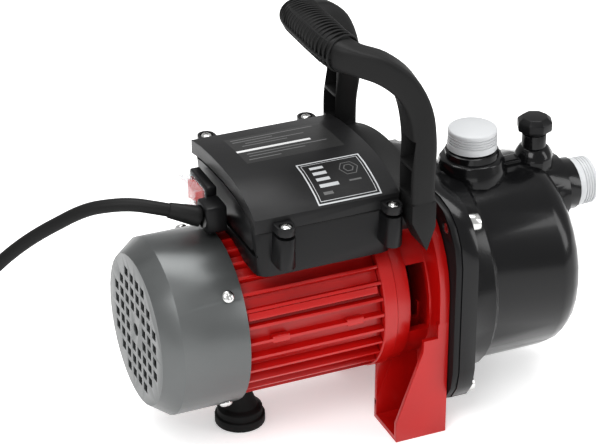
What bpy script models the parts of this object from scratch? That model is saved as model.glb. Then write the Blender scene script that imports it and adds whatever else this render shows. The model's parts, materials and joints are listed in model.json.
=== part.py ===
"""Shallow well jet pump: an electric motor, a cast bracket and a jet pump head on one shaft.

All dimensions are in millimetres and become metres in the helpers. x runs from the fan end to the
suction end, y across, z up from the floor. x is counted from the fan cover's face; the model's
origin lies under the middle of the pump's length.
"""
import math

import bmesh
import bpy
from mathutils import Matrix, Vector

MM = 0.001
GAP = 0.3  # play between neighbouring solids

# Driving dimensions
LENGTH = 356.0  # fan cover face to suction cap
AXIS_Z = 94.5  # motor axis above the floor
MOTOR_R = 60.2  # over the cooling fins
COVER_R = 63.8
COVER_SCREW_X = 50.3
COVER_SCREW_ANGLES = (50, 140, 230, 320)
HOUSING_R = 73.5
PORT_Z = 139.5  # suction port's axis
THREAD_R = 16.6  # G1 male thread
CAP_R = 18.2
DISCHARGE_X = 258.6
FILLER_X = 309.0
FLANGE_BOLTS = (61.0, 66.0)  # half spacings across and up
LEG_Y = (35.0, 72.6)  # inner and outer side of a bracket leg
BOX_X = (66.5, 172.8)
BOX_Y = 59.0
# The lid's top across the box, as (y, z): a steep near shoulder, a flat crown and a higher far side
LID_TOP = (  # y, z of the lid's crown
    (-59, 195), (-50, 199.8), (-39, 203.6), (-28, 206.4), (-16, 207.7),
    (0, 208), (20, 207.3), (40, 205.5), (59, 201.8),
)
LID_DEPTH = 12.0  # top of the lid to the seam, all the way across
POSTS = (  # x, y, top
    (86.0, -66.0, 191.2), (165.0, -66.0, 191.2), (157.5, 66.0, 200.0), (80.5, 66.0, 200.0),
)
FOOT_X = 76.7
GLAND = (58.4, -1.0, 173.5)
RELIEF = (-0.923, 0.241, 0.301)  # way the strain relief points
CORD_D = 9.5
COIL_CENTRE = (-225.0, 10.0)
COIL_R = 52.5  # middle of the turns
CORD_ROUTE = (
    (26.8, 5.2, 181.2), (21.4, 6.6, 182.6), (10.6, 11.5, 184.6), (-5, 19, 185), (-20.2, 28, 180.5),
    (-38.9, 38, 169), (-59, 46.5, 155.5), (-79, 54, 138), (-97, 60, 117), (-113, 65, 94), (-127, 69, 71),
    (-140, 71.5, 49), (-153, 72.5, 30), (-167, 72.5, 15), (-181, 71.5, 7.2), (-194.4, 69.5, 5.1),
)

BIG = 32  # segments of a turned casing
MEDIUM = 24
SMALL = 12

AXES = {
    "x": Matrix(((0, 0, 1), (1, 0, 0), (0, 1, 0))),
    "y": Matrix(((1, 0, 0), (0, 0, -1), (0, 1, 0))),
    "z": Matrix.Identity(3),
}

COLOURS = {  # colour, roughness, metallic
    "red_paint": ((0.62, 0.02, 0.01), 0.35, 0.0),
    "grey_metal": ((0.23, 0.23, 0.22), 0.38, 0.85),
    "black_plastic": ((0.018, 0.018, 0.017), 0.35, 0.0),
    "handle_plastic": ((0.03, 0.03, 0.028), 0.5, 0.0),
    "cap_plastic": ((0.62, 0.62, 0.61), 0.4, 0.0),
    "steel": ((0.6, 0.6, 0.6), 0.25, 1.0),
    "iron": ((0.3, 0.3, 0.3), 0.5, 0.9),
    "copper": ((0.72, 0.32, 0.12), 0.35, 1.0),
    "brass": ((0.75, 0.55, 0.2), 0.3, 1.0),
    "rubber": ((0.015, 0.015, 0.015), 0.7, 0.0),
    "ceramic": ((0.85, 0.83, 0.78), 0.3, 0.0),
    "switch_red": ((0.75, 0.03, 0.02), 0.3, 0.0),
    "clear_plastic": ((0.85, 0.87, 0.86), 0.1, 0.0),
    "white_plastic": ((0.8, 0.8, 0.78), 0.4, 0.0),
}


def clear_scene():
    for thing in list(bpy.data.objects):
        bpy.data.objects.remove(thing, do_unlink=True)


def new_collection(name):
    made = bpy.data.collections.new(name)
    bpy.context.scene.collection.children.link(made)
    return made


clear_scene()
parts = new_collection("jet_pump")
cutters = new_collection("cutters")


def paint(thing, colour):
    base, roughness, metallic = COLOURS[colour]
    made = bpy.data.materials.new(thing.name + "_" + colour)
    made.use_nodes = True
    shader = made.node_tree.nodes["Principled BSDF"]
    shader.inputs["Base Color"].default_value = (*base, 1)
    shader.inputs["Roughness"].default_value = roughness
    shader.inputs["Metallic"].default_value = metallic
    thing.data.materials.append(made)


def place(x, y, z):
    """World position of a point given in millimetres from the fan cover's face."""
    return Vector(((x - LENGTH / 2) * MM, y * MM, z * MM))


def add(name, mesh, colour=None, at=None, axis="z", smooth=True):
    """A finished object in the parts, or a hidden helper when it has no colour."""
    thing = bpy.data.objects.new(name, mesh)
    (parts if colour else cutters).objects.link(thing)
    thing.matrix_world = Matrix.Translation(place(*at) if at else Vector()) @ AXES[axis].to_4x4()
    if colour:
        paint(thing, colour)
    else:
        thing.hide_render = True
        thing.display_type = "WIRE"
    if smooth:
        mesh.shade_smooth()
        mesh.set_sharp_from_angle(angle=math.radians(35))
    return thing


def turned(name, profile, colour=None, at=None, axis="x", steps=BIG):
    """Solid of revolution about its local z. The profile holds (radius, height) pairs that run
    down the outer side and up the inner one; a profile with both ends off the axis is closed."""
    mesh = bpy.data.meshes.new(name)
    form = bmesh.new()
    corners = [form.verts.new((r * MM, 0, h * MM)) for r, h in profile]
    for a, b in zip(corners, corners[1:]):
        form.edges.new((a, b))
    if profile[0][0] > 0 and profile[-1][0] > 0:
        form.edges.new((corners[-1], corners[0]))
    form.to_mesh(mesh)
    form.free()
    thing = add(name, mesh, colour, at, axis, smooth=False)
    screw = thing.modifiers.new("turn", "SCREW")
    screw.steps = screw.render_steps = steps
    screw.use_merge_vertices = True
    screw.merge_threshold = 0.00001
    screw.use_smooth_shade = True
    return thing


def rod(name, radius, low, high, colour=None, at=None, axis="z", steps=MEDIUM, inner=0.0):
    """A cylinder, or a ring when it has an inner radius."""
    profile = [(radius, high), (radius, low)]
    if inner:
        profile += [(inner, low), (inner, high)]
    else:
        profile = [(0, high)] + profile + [(0, low)]
    return turned(name, profile, colour, at, axis, steps)


def block(name, low, high, colour=None, bevel=0.0):
    """A box between two corners, with rounded edges when it has a bevel."""
    form = bmesh.new()
    a, b = place(*low), place(*high)
    bmesh.ops.create_cube(form, size=1, matrix=Matrix.LocRotScale((a + b) / 2, None, b - a))
    mesh = bpy.data.meshes.new(name)
    form.to_mesh(mesh)
    form.free()
    thing = add(name, mesh, colour, None, "z", smooth=False)
    if bevel:
        rounding = thing.modifiers.new("round", "BEVEL")
        rounding.width = bevel * MM
        rounding.segments = 2
    return thing


def plate(name, outlines, low, high, colour=None, at=(0, 0, 0), axis="x"):
    """A flat outline extruded along an axis; further outlines are holes in the first."""
    curve = bpy.data.curves.new(name, "CURVE")
    curve.dimensions = "2D"
    curve.fill_mode = "BOTH"
    curve.extrude = (high - low) / 2 * MM
    for outline in outlines:
        spline = curve.splines.new("POLY")
        spline.points.add(len(outline) - 1)
        for point, (u, v) in zip(spline.points, outline):
            point.co = (u * MM, v * MM, 0, 1)
        spline.use_cyclic_u = True
    drawn = bpy.data.objects.new(name + "_outline", curve)
    cutters.objects.link(drawn)
    bpy.context.view_layer.update()
    mesh = bpy.data.meshes.new_from_object(drawn.evaluated_get(bpy.context.evaluated_depsgraph_get()))
    bpy.data.objects.remove(drawn)
    form = bmesh.new()
    form.from_mesh(mesh)
    bmesh.ops.remove_doubles(form, verts=form.verts, dist=0.000001)
    bmesh.ops.translate(form, verts=form.verts, vec=(0, 0, (low + high) / 2 * MM))
    bmesh.ops.recalc_face_normals(form, faces=form.faces)
    form.to_mesh(mesh)
    form.free()
    mesh.name = name
    mesh.materials.clear()
    return add(name, mesh, colour, at, axis)


def loft(name, rings, colour=None):
    """A closed skin through rings of equally many points, with a flat cap at each end."""
    form = bmesh.new()
    rows = [[form.verts.new(place(*point)) for point in ring] for ring in rings]
    count = len(rows[0])
    for low, high in zip(rows, rows[1:]):
        for i in range(count):
            form.faces.new((low[i], low[(i + 1) % count], high[(i + 1) % count], high[i]))
    form.faces.new(rows[0])
    form.faces.new(rows[-1])
    bmesh.ops.recalc_face_normals(form, faces=form.faces)
    mesh = bpy.data.meshes.new(name)
    form.to_mesh(mesh)
    form.free()
    return add(name, mesh, colour)


def boolean(target, other, operation):
    change = target.modifiers.new(other.name, "BOOLEAN")
    change.operation = operation
    change.object = other
    change.solver = "EXACT"


def cut(target, *others):
    for other in others:
        boolean(target, other, "DIFFERENCE")


def join(target, *others):
    for other in others:
        boolean(target, other, "UNION")


def merged(name, things):
    """Copies of hidden helpers that don't touch each other, as one cutter mesh."""
    form = bmesh.new()
    for thing in things:
        bpy.context.view_layer.update()
        seen = thing.evaluated_get(bpy.context.evaluated_depsgraph_get())
        mesh = bpy.data.meshes.new_from_object(seen)
        mesh.transform(thing.matrix_world)
        form.from_mesh(mesh)
        bpy.data.meshes.remove(mesh)
        bpy.data.objects.remove(thing)
    mesh = bpy.data.meshes.new(name)
    form.to_mesh(mesh)
    form.free()
    return add(name, mesh, smooth=False)


def arc(radius, start, end, count, centre=(0, 0)):
    """Points along a circular arc, angles in degrees."""
    step = (end - start) / (count - 1)
    turns = [math.radians(start + step * i) for i in range(count)]
    return [(centre[0] + radius * math.cos(t), centre[1] + radius * math.sin(t)) for t in turns]


def rounded(u0, u1, v0, v1, radius, count=5):
    """Outline of a rectangle with round corners, anticlockwise."""
    outline = []
    corners = ((u1, v1, 0), (u0, v1, 90), (u0, v0, 180), (u1, v0, 270))
    for u, v, start in corners:
        centre = (u - radius if u == u1 else u + radius, v - radius if v == v1 else v + radius)
        outline += arc(radius, start, start + 90, count, centre)
    return outline


# ---------------------------------------------------------------- motor


def fan_cover():
    wall = 1.6
    pitch = 10.86
    hole = 6.7
    inner = COVER_R - wall
    profile = [(COVER_R, 61), (COVER_R, 13), (54.4, 0), (4.5, 0), (4.5, wall), (53.6, wall)]
    profile += [(inner, 13.6), (inner, 61)]
    cover = turned("fan_cover", profile, "grey_metal", (0, 0, AXIS_Z), steps=40)
    rows = {0.5: (1.5, 2.5, 3.5), 1.5: (0.5, 1.5, 2.5, 3.5), 2.5: (0.5, 1.5, 2.5), 3.5: (0.5, 1.5)}
    places = [(b * s, a * t) for a, row in rows.items() for b in row for s in (1, -1) for t in (1, -1)]
    holes = []
    for i, (b, a) in enumerate(places):
        y, z = b * pitch, AXIS_Z + a * pitch
        low, high = (-1, y - hole / 2, z - hole / 2), (wall + 1, y + hole / 2, z + hole / 2)
        holes.append(block("grille_hole_%d" % i, low, high))
    cut(cover, merged("grille_holes", holes))
    return cover


def radial_rod(name, angle, profile, colour=None):
    """A small turned piece whose axis points out of the motor's axis."""
    thing = turned(name, profile, colour, (COVER_SCREW_X, 0, AXIS_Z), "z", SMALL)
    turn = Matrix.Rotation(math.radians(angle - 90), 4, "X")
    thing.matrix_world = Matrix.Translation(place(COVER_SCREW_X, 0, AXIS_Z)) @ turn
    return thing


def fan_cover_screws(cover, shield):
    for i, angle in enumerate(COVER_SCREW_ANGLES, 1):
        head = COVER_R + 0.3
        profile = [(0, head + 2.2), (3.2, head + 2.0), (4.6, head), (1.9, head), (1.9, 57.5), (0, 57.5)]
        radial_rod("fan_cover_screw_%d" % i, angle, profile, "steel")
        clear = [(0, COVER_R + 2), (2.3, COVER_R + 2), (2.3, 56), (0, 56)]
        hole = radial_rod("cover_screw_hole_%d" % i, angle, clear)
        cut(cover, hole)
        cut(shield, hole)


def rear_end_shield():
    profile = [(50.2, 66), (50.2, 61.2), (61.9, 61.2), (61.9, 45.5)]
    profile += [(56.5, 45.5), (56.5, 57), (21, 57), (21, 50)]
    profile += [(9, 50), (9, 53.7), (15.3, 53.7), (15.3, 68), (21, 68), (21, 62), (46, 62), (46, 66)]
    return turned("rear_end_shield", profile, "red_paint", (0, 0, AXIS_Z), steps=28)


def motor_housing():
    fins = 32
    root, bore = 54.5, 50.5
    tip_half, root_half = 1.1, 1.6
    outer = []
    for i in range(fins):
        turn = math.tau * (i + 0.5) / fins
        tip = ((MOTOR_R, -tip_half), (MOTOR_R, tip_half))
        for radius, half in ((root, -root_half), *tip, (root, root_half)):
            angle = turn + half / radius
            outer.append((radius * math.cos(angle), radius * math.sin(angle)))
    inner = arc(bore, 0, 350, 36)
    housing = plate("motor_housing", [outer, inner], 61.5, 163, "red_paint", (0, 0, AXIS_Z))
    boss = rod("foot_boss", 9, 33.6, 43, at=(FOOT_X, 0, 0), steps=16)
    join(housing, boss)
    hole = rod("foot_boss_hole", 3.3, 30, 41, at=(FOOT_X, 0, 0), steps=SMALL)
    cut(housing, hole)
    return housing


def stator():
    rod("stator_core", 50.2, 85, 145, "iron", (0, 0, AXIS_Z), "x", 32, inner=30)
    for name, low, high in (("stator_winding_rear", 70, 84.7), ("stator_winding_front", 145.3, 160)):
        profile = [(44, high), (48, high - 4), (48, low + 4), (44, low), (32, low), (32, high)]
        turned(name, profile, "copper", (0, 0, AXIS_Z), steps=MEDIUM)


def bearing(name, low):
    rod(name, 15, low, low + 10, "steel", (0, 0, AXIS_Z), "x", 20, inner=7.6)


def rotor():
    """The turning parts: shaft, rotor, fan, slinger, impeller, seal head and nut."""
    at = (0, 0, AXIS_Z)
    steps = ((4, 239.5), (4, 231), (6, 231), (6, 184), (7.3, 184), (7.3, 160), (9, 160), (9, 68.4))
    profile = [(0, 239.5), *steps, (7.3, 68.4), (7.3, 48), (5, 48), (5, 22), (0, 22)]
    turned("shaft", profile, "steel", at, steps=20)
    rod("rotor_core", 29.4, 85, 145, "iron", at, "x", 32, inner=9.3)
    rod("water_slinger", 14, 187, 190, "rubber", at, "x", 20, inner=6.3)
    rod("seal_head", 12, 193, 204.8, "rubber", at, "x", 20, inner=6.3)
    plate("impeller_nut", [arc(7.5, 0, 300, 6), arc(4.3, 0, 330, 12)], 232.2, 238, "brass", at)
    fan = rod("cooling_fan", 53, 41, 43, "black_plastic", at, "x", 32, inner=5.3)
    hub = rod("fan_hub", 12, 24, 42, at=at, axis="x", steps=20, inner=5.3)
    join(fan, hub)
    for i in range(7):
        blade = block("fan_blade_%d" % i, (24, 10, AXIS_Z - 1), (42, 50, AXIS_Z + 1))
        spin(blade, 360 / 7 * i)
        join(fan, blade)
    impeller = rod("impeller", 44, 217, 219.5, "brass", at, "x", 32, inner=6.3)
    join(impeller, rod("impeller_hub", 11, 217, 230.8, at=at, axis="x", steps=20, inner=6.3))
    for i in range(6):
        vane = block("impeller_vane_%d" % i, (219, 17.5, AXIS_Z - 1), (227.5, 42, AXIS_Z + 1))
        spin(vane, 60 * i)
        join(impeller, vane)
    join(impeller, rod("impeller_shroud", 44, 227, 229, at=at, axis="x", steps=32, inner=16))


def spin(thing, angle):
    """Turns a helper about the motor's axis."""
    centre = Matrix.Translation(place(0, 0, AXIS_Z))
    turn = Matrix.Rotation(math.radians(angle), 4, "X")
    thing.matrix_world = centre @ turn @ centre.inverted() @ thing.matrix_world


# ---------------------------------------------------------------- bracket


def bracket_leg(side):
    """An open box leg: side plate with a sloping edge, inner wall, front plate and sole."""
    inner, outer = LEG_Y
    wall = 3.5
    y0, y1 = sorted((side * inner, side * outer))
    leg = block("leg_%d" % side, (168, y0, 0), (207.2, y1, 91))
    room0, room1 = y0 + wall, y1 - wall
    slope = [(160, 15), (167.9, 15), (188, 71), (188, 120), (160, 120)]
    cut(leg, plate("leg_slope_%d" % side, [slope], -100, 100, axis="y"))
    cut(leg, block("leg_room_%d" % side, (160, room0, wall), (203.5, room1, 120)))
    return leg


def front_bracket():
    at = (0, 0, AXIS_Z)
    profile = [(MOTOR_R, 183), (MOTOR_R, 163.4), (51, 163.4), (51, 177)]
    profile += [(21, 177), (21, 167.7), (15.3, 167.7)]
    profile += [(15.3, 178.3), (10, 178.3), (10, 183)]
    bracket = turned("front_bracket", profile, "red_paint", at)
    join(bracket, rod("lantern", 58, 182, 201, at=at, axis="x", steps=BIG, inner=52))
    top = [(72.5 * math.cos(t), 15 + 70 * math.sin(t)) for t in (math.pi * i / 20 for i in range(21))]
    top += [(-72.5, -70), (-60, -74.5), (60, -74.5), (72.5, -70)]
    join(bracket, plate("flange", [top, arc(24, 0, 345, 24)], 200, 207.2, at=at))
    for side in (-1, 1):
        join(bracket, bracket_leg(side))
        boss = (0, side * 36, 160.5)
        join(bracket, rod("handle_boss_%d" % side, 6, 192.9, 201, at=boss, axis="x", steps=16))
    cut(bracket, block("lantern_window", (184.5, -80, AXIS_Z - 15), (199, 80, AXIS_Z + 34)))
    half_y, half_z = FLANGE_BOLTS
    for s in (-1, 1):
        at_bolt = (0, s * half_y, AXIS_Z - half_z)
        cut(bracket, rod("bracket_bolt_hole_%d" % s, 4.3, 195, 210, at=at_bolt, axis="x", steps=SMALL))
    for side in (-1, 1):
        boss = (0, side * 36, 160.5)
        cut(bracket, rod("handle_hole_%d" % side, 3, 185, 199, at=boss, axis="x", steps=SMALL))
        cut(bracket, rod("leg_hole_%d" % side, 3.5, -5, 10, at=(186, side * 53.8, 0), steps=SMALL))
    return bracket


def rear_foot():
    profile = [(0, 33.2), (9, 33.2), (9, 24), (13, 14), (16.5, 12), (16.5, 7), (18.4, 6.5), (18.4, 0)]
    profile += [(6.5, 0), (6.5, 5), (0, 5)]
    foot = turned("rear_foot", profile, "rubber", (FOOT_X, 0, 0), "z", 28)
    cut(foot, rod("foot_hole", 3.3, 3, 36, at=(FOOT_X, 0, 0), steps=SMALL))
    profile = [(0, 40.6), (3, 40.6), (3, 4.7), (5.5, 4.7), (5.5, 1.5), (0, 1.5)]
    turned("rear_foot_screw", profile, "steel", (FOOT_X, 0, 0), "z", SMALL)


# ---------------------------------------------------------------- pump head


def pump_housing():
    at = (0, 0, AXIS_Z)
    end = 319.0
    fillet = 20.0
    crown = arc(fillet, 0, 90, 5, (end - fillet, HOUSING_R - fillet))
    outer = [(0, end)] + [(r, h) for h, r in crown] + [(HOUSING_R, 246), (77.5, 242), (77.5, 215), (0, 215)]
    housing = turned("pump_housing", outer, "black_plastic", at)
    join(housing, plate("pump_flange", [rounded(-80.5, 80.5, -80.5, 80.5, 38)], 212.8, 225, at=at))
    port = (DISCHARGE_X, 0, 0)
    profile = [(0, 198.6), (THREAD_R, 198.6), (THREAD_R, 185), (19.5, 184), (19.5, 150), (0, 150)]
    join(housing, turned("discharge_port", profile, at=port, axis="z", steps=MEDIUM))
    profile = [(0, 187), (9, 187), (9, 174), (10.5, 172), (10.5, 150), (0, 150)]
    join(housing, turned("filler_neck", profile, at=(FILLER_X, 0, 0), axis="z", steps=20))
    suction = (0, 0, PORT_Z)
    steps = ((THREAD_R, 353.6), (THREAD_R, 341), (19.5, 340), (19.5, 331), (25, 329), (25, 290))
    profile = [(0, 353.6), *steps, (0, 290)]
    join(housing, turned("suction_port", profile, at=suction, axis="x", steps=MEDIUM))
    drain = (0, 0, AXIS_Z - 50)
    join(housing, rod("drain_boss", 10, 300, 321, at=drain, axis="x", steps=16))
    room = arc(fillet - 4.5, 0, 90, 3, (end - fillet, HOUSING_R - fillet))
    inner = [(0, end - 4.5)] + [(r, h) for h, r in room] + [(HOUSING_R - 4.5, 206), (0, 206)]
    cut(housing, turned("water_room", inner, at=at))
    bores = [rod("discharge_bore", 12.5, 140, 205, at=port, steps=20)]
    bores.append(rod("filler_bore", 6.2, 156, 190, at=(FILLER_X, 0, 0), steps=16))
    bores.append(rod("suction_bore", 12.5, 285, 360, at=suction, axis="x", steps=20))
    bores.append(rod("drain_bore", 5.2, 290, 325, at=drain, axis="x", steps=16))
    half_y, half_z = FLANGE_BOLTS
    for i, (s, t) in enumerate(((1, 1), (-1, 1), (-1, -1), (1, -1)), 1):
        spot = (0, s * half_y, AXIS_Z + t * half_z)
        profile = [(0, 240), (7.4, 240), (7.4, 224.8), (4.4, 224.8), (4.4, 205), (0, 205)]
        bores.append(turned("flange_hole_%d" % i, profile, at=spot, steps=SMALL))
        end_x = 208.2 if t > 0 else 200.4
        head = ((3.4, 229.5), (3.4, 233), (6.5, 233), (6.5, 225.3), (3.9, 225.3))
        profile = [(0, 229.5), *head, (3.9, end_x), (0, end_x)]
        turned("housing_bolt_%d" % i, profile, "steel", spot, "x", SMALL)
    cut(housing, merged("housing_bores", bores))
    return housing


def cap(name, at, axis, low):
    """A screwed-on protective cap: a short tube closed at its outer end, with grip rings."""
    top = low + 15
    profile = [(0, top), (17, top), (CAP_R, top - 1.2), (CAP_R, low), (THREAD_R + GAP, low)]
    profile += [(THREAD_R + GAP, top - 1.8), (0, top - 1.8)]
    turned(name, profile, "cap_plastic", at, axis)


def plug(name, at, axis, seat, radius, height, stem, depth, colour):
    """A chamfered screw plug with a stem that fills its bore."""
    top = seat + height
    profile = [(0, top), (radius * 0.68, top), (radius, top - 3), (radius, seat + 3.5), (radius * 0.72, seat)]
    profile += [(stem, seat), (stem, seat - depth), (0, seat - depth)]
    turned(name, profile, colour, at, axis, 16)


def small_pump_parts():
    at = (0, 0, AXIS_Z)
    outline = rounded(-80, 80, -80, 80, 37.5)
    backing = plate("seal_plate", [outline, arc(14.6, 0, 342, 20)], 207.8, 212.5, "black_plastic", at)
    half_y, half_z = FLANGE_BOLTS
    spots = [(0, s * half_y, AXIS_Z + t * half_z) for s in (-1, 1) for t in (-1, 1)]
    holes = [
        rod("plate_hole_%d" % i, 4.3, 206, 214, at=spot, axis="x", steps=SMALL)
        for i, spot in enumerate(spots)
    ]
    cut(backing, merged("plate_holes", holes))
    rod("seal_seat", 14.2, 205.2, 212, "ceramic", at, "x", 20, inner=6.5)
    rod("housing_oring", 68.2, 213, 215.6, "rubber", at, "x", BIG, inner=65.4)
    profile = [(18, 292), (18, 262), (58, 240), (58, 234), (16.8, 234), (14.3, 240), (14.3, 292)]
    turned("diffuser", profile, "black_plastic", at, steps=28)
    profile = [(13.9, 291), (13.9, 246), (11, 246), (6, 278), (6, 284), (9, 291)]
    turned("venturi_tube", profile, "white_plastic", at, steps=20)
    profile = [(16, 303), (16, 292.3), (13, 292.3), (13, 296), (8, 296), (4, 292.6), (3, 292.6), (9, 303)]
    turned("jet_nozzle", profile, "brass", at, steps=20)
    cap("discharge_cap", (DISCHARGE_X, 0, 0), "z", 186)
    cap("suction_cap", (0, 0, PORT_Z), "x", LENGTH - 15)
    plug("filler_plug", (FILLER_X, 0, 0), "z", 189, 13.3, 11.2, 5.8, 12, "black_plastic")
    rod("filler_oring", 8.6, 187.2, 188.8, "rubber", (FILLER_X, 0, 0), "z", 16, inner=6.1)
    plug("drain_plug", (0, 0, AXIS_Z - 50), "x", 323, 10, 9, 4.8, 14, "black_plastic")
    rod("drain_oring", 7.6, 321.3, 322.7, "rubber", (0, 0, AXIS_Z - 50), "x", 16, inner=5.1)


# ---------------------------------------------------------------- handle


def handle():
    """Two legs lean inward, turn back over the box as arms and meet in a cross grip."""
    # Per station of the near half: centre, half thickness vector, half depth vector
    half = (
        ((183.5, -64.6, 157), (9.1, 0, 0), (0, 12, 0)),
        ((183.6, -64.3, 195), (9.2, 0, 0), (0, 12, 0)),
        ((185.2, -62, 232), (9.2, 0, 0.6), (0, 12, 0)),
        ((183.2, -59.5, 256), (8.6, -1.0, 3.2), (0.4, 12, 0)),
        ((175.5, -57, 274.5), (6.4, -1.5, 6.8), (1.8, 10.8, 0)),
        ((162, -51.8, 286.5), (3, -0.5, 9.0), (3.2, 9, 0)),
        ((148.5, -44.3, 291.5), (0.6, 0, 9.4), (4.8, 7.8, 0)),
        ((140, -35.5, 294.5), (0.3, 0, 10.5), (9, 6.5, 0)),
        ((137.5, -23, 296), (0, 0, 11.5), (13, 2, 0)),
    )
    far = tuple(((c[0], -c[1], c[2]), (u[0], -u[1], u[2]), (v[0], -v[1], v[2])) for c, u, v in half[::-1])
    middle = (((137, 0, 297), (0, 0, 12), (14, 0, 0)),)
    k = 0.62
    shape = ((1, k), (k, 1), (-k, 1), (-1, k), (-1, -k), (-k, -1), (k, -1), (1, -k))
    rings = []
    for centre, u, v in (*half, *middle, *far):
        centre, u, v = Vector(centre), Vector(u), Vector(v)
        rings.append([centre + u * a + v * b for a, b in shape])
    grip = loft("handle", rings, "handle_plastic")
    saddle = [(-74, 192), (-56, 168), (-50, 160)]
    saddle += [(y, z + AXIS_Z) for y, z in arc(64.5, 118, 62, 7)]
    saddle += [(50, 160), (56, 168), (74, 192)]
    saddle += [(y, 204 - 13 * (y / 60) ** 2) for y in (54, 40, 20, 0, -20, -40, -54)]
    join(grip, plate("saddle", [saddle], 174.5, 192.4))
    for low, high in ((-90, -55.5), (55.5, 90)):
        tip = [(170, 145), (170, 188), (186.1, 155.5), (197, 187), (197, 145)]
        cut(grip, plate("tip_cut_%d" % high, [tip], low, high, axis="y"))
    for i, side in enumerate((-1, 1), 1):
        spot = (0, side * 36, 160.5)
        cut(grip, rod("handle_screw_way_%d" % i, 3, 170, 195, at=spot, axis="x", steps=SMALL))
        cut(grip, rod("handle_screw_seat_%d" % i, 5.6, 170, 179, at=spot, axis="x", steps=SMALL))
        profile = [(0, 198), (2.7, 198), (2.7, 178.7), (5.2, 178.7), (5.2, 175.4), (0, 175.4)]
        turned("handle_screw_%d" % i, profile, "steel", spot, "x", SMALL)
    return grip


# ---------------------------------------------------------------- terminal box


def arch(offset, half):
    """The lid's cross curve above its seam, as (y, z) from one side to the other."""
    line = []
    for y, z in LID_TOP:
        line.append((max(-half, min(half, y)), z - LID_DEPTH + offset))
    if half > BOX_Y:
        line = [(-half, line[0][1]), *line, (half, line[-1][1])]
    return line


def ear(name, x, y, low, high, root):
    """A screw post that stands half out of the box's side."""
    s = 1 if y > 0 else -1
    outline = [(x + u, y - s * v) for u, v in arc(6.5, 180, 360, 7)]
    outline += [(x + 6.5, s * root), (x - 6.5, s * root)]
    return plate(name, [outline], low, high, axis="z")


def terminal_box():
    x0, x1 = BOX_X
    wall = 2.6
    rings = []
    for z, inset in ((148, 4), (200, 0)):
        outline = rounded(x0 + inset, x1 - inset * 0.3, -BOX_Y + inset, BOX_Y - inset, 9, 4)
        rings.append([(x, y, z) for x, y in outline])
    base = loft("terminal_box_base", rings, "black_plastic")
    above = arch(0, 90) + [(90, 260), (-90, 260)]
    for i, (x, y, top) in enumerate(POSTS):
        join(base, ear("base_post_%d" % i, x, y, 160, top - 4, 54.5))
    cut(base, plate("above_seam", [above], 20, 200, axis="x"))
    room = rounded(x0 + wall, x1 - wall, -BOX_Y + wall, BOX_Y - wall, 6, 3)
    inside = [(x, y, z) for z in (163, 230) for x, y in room]
    count = len(inside) // 2
    room = loft("box_room", [[(x, y * 0.955, z) for x, y, z in inside[:count]], inside[count:]])
    cut(base, room)
    cut(base, rod("motor_clearance", MOTOR_R + 0.4, 50, 200, at=(0, 0, AXIS_Z), axis="x", steps=48))

    rim = arch(LID_DEPTH, BOX_Y)
    foot = arch(1.8, BOX_Y)
    lid = plate("terminal_box_cover", [foot + rim[::-1]], x0, x1, "black_plastic", axis="x")
    hollow = arch(-4, BOX_Y - wall) + arch(LID_DEPTH - wall, BOX_Y - wall)[::-1]
    cut(lid, plate("lid_room", [hollow], x0 + wall, x1 - wall, axis="x"))
    for i, (x, y, top) in enumerate(POSTS):
        low = 185.4 if y < 0 else 192.2
        join(lid, ear("lid_post_%d" % i, x, y, low, top, 57.5))
    seal = arch(0.4, BOX_Y - 0.6) + arch(1.4, BOX_Y - 0.6)[::-1]
    gasket = plate("terminal_box_gasket", [seal], x0 + 3, x1 - 3, "rubber", axis="x")
    cut(gasket, block("gasket_room", (x0 + 5, -BOX_Y + 3.2, 170), (x1 - 5, BOX_Y - 3.2, 210)))

    holes = []
    for i, (x, y, top) in enumerate(POSTS, 1):
        spot = (x, y, 0)
        seat = top - 2.2
        way = [(0, top + 4), (4.8, top + 4), (4.8, seat), (2.3, seat), (2.3, 168), (0, 168)]
        holes.append(turned("box_screw_hole_%d" % i, way, at=spot, axis="z", steps=SMALL))
        profile = [(0, seat + 3.1), (2.8, seat + 2.7), (4.3, seat + 0.5), (4.3, seat + 0.3), (2, seat + 0.3)]
        profile += [(2, 168.5), (0, 168.5)]
        turned("terminal_box_screw_%d" % i, profile, "steel", spot, "z", SMALL)
    ways = merged("box_screw_holes", holes)
    cut(lid, ways)
    cut(base, ways)

    rod("capacitor", 13, 90, 150, "white_plastic", (0, 24, 178.5), "x", MEDIUM)
    block("terminal_block", (95, -36, 163.4), (130, -18, 174), "white_plastic")
    return base


def relief_socket(way):
    """Room for the strain relief's root in the gland's face."""
    x, y, z = GLAND
    socket = rod("relief_socket", 8, -3, 12, steps=16)
    socket.matrix_world = Matrix.Translation(place(x - 8, y, z)) @ way
    return socket


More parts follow.
